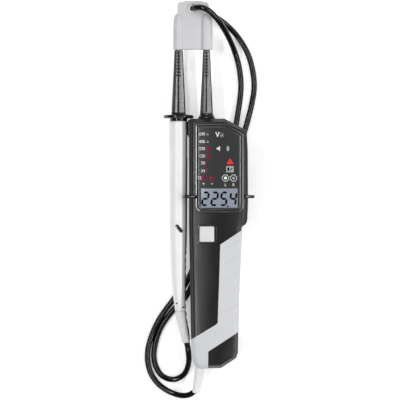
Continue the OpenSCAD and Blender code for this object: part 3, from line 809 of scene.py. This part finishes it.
def make_lcd():
    (x0, y0), (x1, y1) = LCD_LOW, LCD_HIGH
    glass = pad("lcd_glass", rectangle(x0 + 0.1, y0 + 0.1, x1 - 0.1, y1 - 0.1, 0.3), 28, LCD_Z, 0.2)
    carrier = pad("lcd_carrier", rectangle(x0 - 2, y0 - 2.5, x1 + 1.4, y1 + 3, 0.6), 25, 27.8, 0.3)
    put(glass, "root", LCD_GREY, ["lcd_module"])
    put(carrier, "root", BEZEL_GREY, ())
    put(merged("lcd_digits", digits("225.4")), "root", LCD_INK, ())


SEGMENT_T = 1.4
DIGIT_W = 5.05
DIGIT_H = 9.9
DIGIT_SLANT = 0.12
DIGITS_AT = (-11.75, 109.75)
DIGIT_PITCH = 6.25
SEGMENTS = {"2": "abdeg", "5": "acdfg", "4": "bcfg"}
INK_LOW = LCD_Z - 0.1
INK_HIGH = LCD_Z + 0.03


def bar(p, q, width, low, high, name="bar"):
    """A bar from p to q with pointed ends."""
    p, q = Vector(p), Vector(q)
    along = (q - p).normalized() * width / 2
    across = Vector((-along.y, along.x))
    plan = [p, p + along - across, q - along - across, q, q - along + across, p + along + across]
    return loft(name, [[(v.x, v.y, z) for v in plan] for z in (low, high)])


def segment_ends(letter):
    w, h, t = DIGIT_W, DIGIT_H, SEGMENT_T / 2
    left, right, low, middle, high = t, w - t, t, h / 2, h - t
    ends = {
        "a": ((left, high), (right, high)), "b": ((right, high), (right, middle)),
        "c": ((right, middle), (right, low)), "d": ((left, low), (right, low)),
        "e": ((left, middle), (left, low)), "f": ((left, high), (left, middle)),
        "g": ((left, middle), (right, middle))}[letter]
    p, q = (Vector(v) for v in ends)
    gap = (q - p).normalized() * 0.14
    return p + gap, q - gap


def digits(text):
    """Seven-segment digits on the display."""
    x, y = DIGITS_AT
    shapes = []
    for letter in text:
        if letter == ".":
            dot = x - DIGIT_PITCH + DIGIT_W + 0.1
            point = rectangle(dot, y - 0.5, dot + 1.3, y + 0.5, 0.3)
            shapes.append(pad("point", point, INK_LOW, INK_HIGH))
            continue
        for segment in SEGMENTS[letter]:
            ends = [(x + v.x + DIGIT_SLANT * v.y, y + v.y) for v in segment_ends(segment)]
            shapes.append(bar(*ends, SEGMENT_T, INK_LOW, INK_HIGH))
        x += DIGIT_PITCH
    return shapes


PRINT_LOW = WINDOW_Z - 0.15
PRINT_HIGH = WINDOW_Z + 0.035
LETTER_WIDTH = 0.94


def lettering(text, height, x, y, align=0.5, weight=0.012):
    """A number or sign of that height, its middle at y, and align of its width left of x."""
    curve = bpy.data.curves.new("text", "FONT")
    curve.body = text
    curve.offset = weight
    text_object = linked("text", curve)
    bpy.context.view_layer.update()
    depsgraph = bpy.context.evaluated_depsgraph_get()
    mesh = bpy.data.meshes.new_from_object(text_object.evaluated_get(depsgraph))
    bpy.data.objects.remove(text_object)
    low = [min(v.co[k] for v in mesh.vertices) for k in (0, 1)]
    high = [max(v.co[k] for v in mesh.vertices) for k in (0, 1)]
    tall = height / (high[1] - low[1])
    wide = tall * LETTER_WIDTH
    left = x - align * wide * (high[0] - low[0])
    for v in mesh.vertices:
        v.co = (left + (v.co.x - low[0]) * wide, y + (v.co.y - low[1]) * tall - height / 2, PRINT_LOW)

    def raise_up(bm):
        bmesh.ops.remove_doubles(bm, verts=bm.verts, dist=1e-4)
        faces = bmesh.ops.extrude_face_region(bm, geom=bm.faces[:] + bm.edges[:] + bm.verts[:])["geom"]
        top = [g for g in faces if isinstance(g, bmesh.types.BMVert)]
        bmesh.ops.translate(bm, verts=top, vec=(0, 0, PRINT_HIGH - PRINT_LOW))
    return edit(linked("lettering", mesh), raise_up)


def plate(points):
    """A flat printed shape with plain corners."""
    return pad("plate", [(x, y, 0) for x, y in points], PRINT_LOW, PRINT_HIGH)


def supply_sign(x, y, s, tall=1.0):
    """A wave over two dashes, for alternating and direct voltage."""
    steps = [k / 5 for k in range(11)]
    wave = [(x + s * (t - 1), y + s * tall * (0.55 + 0.22 * math.sin(math.pi * t))) for t in steps]
    lines = [(wave[i], wave[i + 1], 0.32 * s) for i in range(10)]
    solid, dashed = y - 0.25 * s * tall, y - 0.9 * s * tall
    lines += [((x - s, solid), (x + s, solid), 0.35 * s)]
    lines += [((x + s * k, dashed), (x + s * (k + 0.5), dashed), 0.35 * s) for k in (-1, -0.25, 0.5)]
    return [bar(p, q, w, PRINT_LOW, PRINT_HIGH) for p, q, w in lines]


def ring_mark(x, y):
    """A ring of eight dashes round a lamp."""
    def at(radius, degrees):
        a = math.radians(degrees)
        return x + radius * math.cos(a), y + radius * math.sin(a)
    dashes = []
    for start in range(0, 360, 45):
        turns = [start + a for a in (-19, -9.5, 0, 9.5, 19)]
        dashes.append(plate([at(2.3, a) for a in turns] + [at(1.92, a) for a in reversed(turns)]))
        gap = start + 22.5
        dashes.append(bar(at(2.15, gap), at(2.75, gap), 0.3, PRINT_LOW, PRINT_HIGH))
    return dashes


SCALE_ROWS = [("690", 158.4), ("400", 153.3), ("230", 148.6), ("120", 143.6), ("50", 138.9), ("24", 133.6),
              ("12", 128.9)]
RINGS = [(5, 128.7), (10.4, 128.7)]
SIGN_BARS = [((-10.6, 124.8), (-9, 124.8)), ((-9.8, 124), (-9.8, 125.6)), ((-4.9, 124.8), (-3.3, 124.8))]
RING_LAMPS = [("left_lamp", GREEN_LAMP), ("right_lamp", PRINT_GREY)]


def make_print():
    marks = [lettering(text, 2.1, -8.9, y, 1) for text, y in SCALE_ROWS]
    marks[-1].data.transform(Matrix.Translation((-2.5, 0, 0)))
    marks.append(lettering("V", 3.5, -0.4, 158, weight=0.035))
    marks += supply_sign(2.5, 158.1, 1.15, 1.5)
    for text, y in SCALE_ROWS[:2]:
        marks += supply_sign(-7.1, y, 0.75)
    marks.append(plate([(-1, 148), (-0.2, 148), (1.3, 146.8), (1.3, 150.4), (-0.2, 149.2), (-1, 149.2)]))
    marks += [m for place in RINGS for m in ring_mark(*place)]
    marks += [lettering("L", 1.9, 5, 124.2), lettering("R", 1.9, 10.5, 124.2)]
    marks += [bar(p, q, 0.45, PRINT_LOW, PRINT_HIGH) for p, q in SIGN_BARS]
    put(drape(merged("scale_print", marks)), "root", PRINT)
    lens = [(6.6 + 0.95 * math.sin(a) * abs(math.sin(a)) ** 0.4, 148.6 + 1.9 * math.cos(a))
            for a in [-math.pi * k / 12 for k in range(24)]]
    box = pad("box", rectangle(5.4, 132.6, 10.5, 136.8, 0.4), PRINT_LOW, PRINT_HIGH)
    put(drape(merged("symbol_print", [plate(lens), box])), "root", PRINT_GREY)
    dark = [pad("mark", rectangle(6.3, 133.5, 7.5, 135.9, 0.2), PRINT_LOW, PRINT_HIGH + 0.03),
            bar((8, 133.8), (9.8, 135.7), 0.6, PRINT_LOW, PRINT_HIGH + 0.03)]
    put(drape(merged("symbol_marks", dark)), "root", LCD_INK)


def lamp_lens(corners):
    return drape(pad("lens", corners, WINDOW_Z - 0.6, WINDOW_Z + 0.16, 0.14))


def make_lamps():
    """The lit scale, the triangle and the two ring lamps."""
    tall = [rectangle(-7.9, y - 1.9, -5.3, y + 1.9, 0.7) for y in (148.6, 143.6)]
    short = [rectangle(-8.5, y - 1.4, -6.7, y + 1.4, 0.6) for y in (138.8, 133.7)]
    wide = [rectangle(x - 1.6, 127, x + 1.6, 130.5, 1) for x in (-9.65, -4.05)]
    lenses = [lamp_lens(corners) for corners in tall + short + wide]
    put(merged("scale_lamps", lenses), "root", RED_WINDOW, ["scale_windows"])
    triangle = [(5.5, 138, 0.5), (10.5, 138, 0.5), (8, 142.4, 0.5)]
    put(lamp_lens(triangle), "root", RED_LAMP, ["status_windows"]).name = "triangle_lamp"
    for (x, y), (name, finish) in zip(RINGS, RING_LAMPS, strict=True):
        turns = [math.radians(a) for a in range(0, 360, 45)]
        octagon = [(x + math.cos(a), y + math.sin(a), 0.5) for a in turns]
        put(lamp_lens(octagon), "root", finish, ()).name = name


# ---- button ----


def make_button():
    x, y = BUTTON_AT

    def ring(half_x, half_y, r, z):
        plan = rounded(rectangle(x - half_x, y - half_y, x + half_x, y + half_y, r))
        return [(px, py, z + crown(px) - crown(x)) for px, py in plan]
    b, (w, l) = BEZEL_HALF, BUTTON_HALF
    rim = [(0, 1.8, 26.5), (0, 1.8, 31.35), (0.06, 1.75, 31.62), (0.1, 1.7, 31.66), (0.3, 1.6, 31.71),
           (0.5, 1.4, 31.72), (0.56, 1.35, 31.62), (0.6, 1.3, 31.3), (0.62, 1.3, 27.3)]
    frame_rings = [ring(b - d, b - d, r, z) for d, r, z in rim]
    frame_rings += [ring(w + 0.25, l + 0.2, 0.8, z) for z in (27.2, 26.5)]
    frame_loop = loft("button_frame", frame_rings, around=True)
    put(frame_loop, "root", BEZEL_GREY, ["button_bezel"])
    dish = [(0, 29.6), (0, 32.2), (0.12, 32.6), (0.4, 32.9), (0.8, 33), (1.3, 32.93), (2.2, 32.8),
            (3.6, 32.7)]
    key = loft("button_key", [ring(w - d, l - d, max(0.9 - d, 0.3), z) for d, z in dish])
    put(key, "button", BUTTON_WHITE, ["push_button"], 50)


# ---- shafts, collar and dock ----

# Half of a shaft's section, as shares of its radius; the other half is its turned copy.
SECTION = [
    (1, -0.15), (1, 0.34), (0.97, 0.5), (0.8, 0.65), (0.12, 0.94), (0.08, 0.955), (-0.18, 0.965),
    (-0.46, 0.905), (-0.5, 0.84), (-0.82, 0.735), (-0.97, 0.52), (-1, 0.34), (-1, -0.15)]
SHAFT_START_Y = 172
DASHES = 8
DASH_PITCH = 2.2
FIRST_DASH_Y = 198


def shaft_ring(x, y, r, faceted):
    """A ring of the tapered shaft: flat flanks and a raised spine, or round where faceted is 0."""
    half = SECTION + [(-a, -b) for a, b in SECTION]
    ring = []
    for a, b in half:
        long = math.hypot(a, b)
        k = (1 - faceted) / long + faceted
        ring.append((x + r * a * k, y, TIP_Z + r * b * k))
    return ring


def shaft(name, x, rows):
    rings = [shaft_ring(x, *values) for values in rows]
    bore = rod("bore", x, SHAFT_END_Y - 12, SHAFT_END_Y + 2, SOCKET_R)
    return cut(loft(name, rings), bore)


def raised_marks(x, base, top):
    """A row of plain raised dashes along the shaft's front, where lettering might be."""
    marks = []
    for i in range(DASHES):
        y = FIRST_DASH_Y + DASH_PITCH * i
        r = base + (top - base) * (y - SHAFT_START_Y) / (SHAFT_END_Y - SHAFT_START_Y)
        plan = rectangle(x - 0.42 * r, y, x + 0.42 * r, y + DASH_PITCH / 2, 0.2)
        marks.append(pad("dash", plan, TIP_Z, TIP_Z + r + 0.08, 0.1))
    return marks


def make_shafts():
    main = shaft("main_insulator", MAIN_X, [
        (152, 4, 0), (158.1, 4, 0), (158.2, 5.3, 0), (161, 5.3, 0), (161.1, 4, 0), (168.9, 4, 0),
        (169, 5.7, 0), (169.5, 5.85, 0), (170.2, 5.6, 0), (171.6, 4.75, 0), (172.9, 4.4, 0.05),
        (173.4, 4.35, 1), (200, 3.12, 1), (215.2, 2.5, 1), (SHAFT_END_Y, 2.3, 1)])
    put(merged("main_insulator", [main, *raised_marks(MAIN_X, 4.4, 2.5)]), "root", SHAFT_BLACK,
        ["main_shaft"], 9)
    probe = shaft("probe_insulator", PROBE_X, [
        (150, 3.95, 0), (171.9, 3.95, 0), (172, 4.8, 0), (172.6, 5, 0), (173.2, 4.95, 0.05),
        (173.5, 4.85, 1), (200, 3.6, 1), (215.2, 2.95, 1), (SHAFT_END_Y, 2.8, 1)])
    put(merged("probe_insulator", [probe, *raised_marks(PROBE_X, 4.85, 2.95)]), "probe", SHAFT_BLACK,
        ["probe_shaft"], 9)


def make_collar():
    r = 10.45
    profile = [(4, 152), (4.5, 152), (4.5, 167.4), (6, 167.7), (6, 169.3), (8, 169.4), (r - 0.9, 169.5),
               (r - 0.3, 169.75), (r, 170.3), (r, 171), (r - 0.3, 171.5), (r - 0.9, 171.8), (8.6, 171.7),
               (7.6, 171.95), (5.1, 172), (4, 172)]
    put(lathe("probe_disc", profile, PROBE_X, TIP_Z, 72), "probe", DEEP_BLACK, ["probe_collar"],
        35)


def make_dock():
    """The lug on the head's flank that the second probe slides onto."""
    base = pad("base", rectangle(-HEAD_LEFT - 0.7, 157, -HEAD_LEFT + 0.4, 168.4, 0.5), 12.5, 21.5, 0.4)
    tongue = pad("tongue", rectangle(-21.5, 158, -HEAD_LEFT, 167.4, 0.6), 15.7, 18.3, 0.4)
    lug = boolean(base, tongue, "UNION")
    put(lug, "root", DEEP_BLACK, ["dock_lug"]).name = "dock_tongue"


# ---- second probe ----


def handle_row(y):
    """The handle's left, right, half height and middle at y, on a smooth line through HANDLE."""
    i = max(k for k in range(len(HANDLE) - 1) if HANDLE[k][0] <= y or k == 0)
    a, b, c, d = neighbours(HANDLE, i)
    t = (y - b[0]) / (c[0] - b[0])
    values = []
    for k in range(1, 5):
        slope_b = (c[k] - a[k]) / (c[0] - a[0]) * (c[0] - b[0])
        slope_c = (d[k] - b[k]) / (d[0] - b[0]) * (c[0] - b[0])
        values.append((2 * t ** 3 - 3 * t * t + 1) * b[k] + (t ** 3 - 2 * t * t + t) * slope_b
                      + (3 * t * t - 2 * t ** 3) * c[k] + (t ** 3 - t * t) * slope_c)
    return values


def handle_ring(y, d, sides=48):
    left, right, tall, middle = handle_row(y)
    wide, x = (right - left) / 2, (left + right) / 2
    turns = [2 * math.pi * k / sides for k in range(sides)]
    return [(x + (wide - d) * math.sin(a), y, middle + (tall - d) * math.cos(a)) for a in turns]


def handle_form(name, y0, y1, d, ends=(0.0, 0.0)):
    """The handle's form from y0 to y1, d inside its faces; ends rounds its two ends."""
    steps = max(2, round((y1 - y0) / 1.5))
    levels = [(y0 + (y1 - y0) * k / steps, d) for k in range(steps + 1)]
    for end, y, sign in ((ends[0], y0, 1), (ends[1], y1, -1)):
        if end:
            arc = [(y + sign * end * (1 - math.cos(a)), d + end * (1 - math.sin(a)))
                   for a in [math.pi / 2 * k / 5 for k in range(5)]]
            levels = [v for v in levels if abs(v[0] - y) > end] + arc
    levels.sort()
    return loft(name, [handle_ring(y, inner) for y, inner in levels])


def spine_block(inner):
    """Everything right of the line where the spine meets the shell."""
    ys = [14 + 2 * k for k in range(79)]
    first, last = HANDLE[0][0], HANDLE[-1][0]
    line = [(handle_row(min(max(y, first), last))[1] - SPINE_DEPTH + inner, y) for y in ys]
    plan = line + [(-12, ys[-1]), (-12, ys[0])]
    return loft("spine_block", [[(x, y, z) for x, y in plan] for z in (2, 32)])


def scalloped(obj):
    """Waves along the spine's outer edge for the fingers."""
    low, high = FINGER_WAVES
    for vertex in obj.data.vertices:
        x, y = vertex.co.xy
        if low < y < high and x > handle_row(y)[1] - SPINE_DEPTH * 0.8:
            fade = min(1, (y - low) / 5, (high - y) / 5)
            vertex.co.x -= 0.28 * fade * (1 - math.cos(2 * math.pi * y / FINGER_WAVE))
    return obj


def make_probe():
    top = HANDLE[-1][0]
    shell = handle_form("probe_housing", PROBE_BOOT_Y + 0.15, top, 0, (0, 0.8))
    hollow = handle_form("hollow", PROBE_BOOT_Y + 4, top - 1.6, 1.5)
    pill_at = Matrix.Translation((-26.4, 94.5, 0)) @ Matrix.Rotation(math.radians(-49), 4, "Z")
    pocket = transform(pad("pocket", rectangle(-3.35, -1.3, 3.35, 1.3, 1.3), 23.3, 30), pill_at)
    mark = transform(pad("probe_inlay", rectangle(-3.25, -1.2, 3.25, 1.2, 1.2), 23, 24, 0.2), pill_at)
    cut(shell, hollow, spine_block(0), pocket, rod("neck", PROBE_X, 160, 172, 4.6))
    pins = []
    for p in PROBE_PINS:
        cut(shell, disc("dimple", p, 0.6, 16, 30, 20))
        profile = [(0, 18), (0.55, 18), (0.55, 20.2), (0.4, 20.35), (0, 20.4)]
        pins.append(lathe_z("pin", profile, p, 20))
    put(merged("probe_pins", pins), "probe", DEEP_BLACK)
    put(shell, "probe", WHITE, ["probe_shell"], 40)
    put(mark, "probe", BEZEL_GREY, ["probe_mark"])
    spine = scalloped(handle_form("probe_rib", 17.6, top, 0.02, (0, 0.6)))
    boolean(spine, spine_block(0.02), "INTERSECT")
    cut(spine, pad("dock_slot", rectangle(-21.9, 142.5, -15, 172, 0.3), 15.1, 18.9))
    put(spine, "probe", DEEP_BLACK, ["probe_spine"], 40)
    boot = cut(handle_form("probe_strain_relief", 16.2, PROBE_BOOT_Y, 0.05, (1.5, 0.25)), spine_block(0))
    put(boot, "probe", WHITE, ["probe_boot"], 40)


def make_boot():
    """The tapered boot where the lead leaves the main unit."""
    stations = [(-17.3, -17.7, -11.9, 2.8, 10.3), (-12, -17, -10.8, 3.1, 11.6), (-6, -16.3, -9.7, 3.3, 13),
                (-0.6, -15.7, -8.7, 3.5, 14), (4, -15.6, -8.8, 3.4, 14)]
    rings = []
    for y, left, right, tall, middle in refined(stations, 6):
        rings.append([((left + right) / 2 + (right - left) / 2 * math.sin(a), y, middle + tall * math.cos(a))
                      for a in [2 * math.pi * i / 40 for i in range(40)]])
    first = [Vector(p) for p in rings[0]]
    centre = sum(first, Vector()) / len(first)
    for share, back in ((0.93, 0.35), (0.8, 0.7), (0.62, 0.85)):
        step = Vector((0.15, back, 0))
        rings.insert(0, [centre + (p - centre) * share - step for p in first])
    put(loft("lead_boot", rings), "root", WHITE, ["cable_boot"], 50)


def refined(stations, parts):
    """The same stations with smooth ones between them."""
    fine = []
    for i in range(len(stations) - 1):
        for k in range(parts):
            fours = zip(*neighbours(stations, i), strict=True)
            fine.append([between(*four, k / parts) for four in fours])
    return fine + [list(stations[-1])]


# ---- cap ----


def make_cap():
    """The soft cap over both tips: two tubes and a web, blended by a fine remesh."""
    tubes = [lathe("tube", [(0, CAP_Y), (r, CAP_Y), (r - 0.35, 237), (r - 0.7, 238.8), (r - 1.5, 240.1),
                            (r - 2.6, 240.8), (0, 241)], x, TIP_Z, 48)
             for x, r in ((PROBE_X, 3.85), (MAIN_X, 4.3))]
    web = pad("web", [(-27.6, CAP_Y + 0.1, 0.2), (-6.1, CAP_Y + 0.1, 0.2), (-6.1, CAP_END_Y - 1.2, 2),
                      (-12, CAP_END_Y, 6), (-21.5, CAP_END_Y, 6), (-27.6, CAP_END_Y - 1.2, 2)],
              TIP_Z - CAP_T / 2, TIP_Z + CAP_T / 2, 0.6)
    cap = boolean(boolean(web, tubes[0], "UNION"), tubes[1], "UNION")
    cap.name = "tip_cover"
    cut(cap, disc("lead_hole", CAP_HOLE, CAP_HOLE_R, 0, 40))
    cap.modifiers.new("remesh", "REMESH").voxel_size = 0.32
    smooth = cap.modifiers.new("smooth", "SMOOTH")
    smooth.iterations = 7
    bake_modifiers(cap)
    cut(cap, *[rod("socket", x, CAP_Y - 1, 237.5, SOCKET_R) for x in (MAIN_X, PROBE_X)])
    put(cap, "cap", CAP_WHITE, ["tip_cap"], 45)


# ---- pieces that keep their CAD shape ----


INNER_PARTS = [
    ("tip_metal", TIP_METAL, ("main_tip", "probe_tip")),
    ("board_green", BOARD_GREEN, ("circuit_board", "probe_board")),
    ("chip_black", DEEP_BLACK, ("main_chip", "buzzer")),
    ("chip_black", BEZEL_GREY, ("tact_switch",)),
    ("led_white", PRINT, ("indicator_leds",)),
    ("contact_metal", STEEL, ("vibration_motor", "battery_contacts")),
    ("contact_metal", BRASS, ("tip_clip",)),
    ("black_plastic", BLACK, ("battery_tray",)),
    ("cell_jacket", CELL_JACKET, ("battery_cells",)),
    ("resistor_body", RESISTOR_BLUE, ("probe_resistors",))]


def dress_inner_parts():
    for slot, finish, nodes in INNER_PARTS:
        for obj in (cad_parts[node] for node in nodes):
            obj.data.materials.clear()
            obj.data.materials.append(finish)


make_camera()
make_light()
make_floor()
make_lead()
make_front()
make_rear()
make_door()
make_screws()
make_guard()
make_window()
make_lcd()
make_print()
make_lamps()
make_button()
make_shafts()
make_collar()
make_dock()
make_probe()
make_boot()
make_cap()
dress_inner_parts()
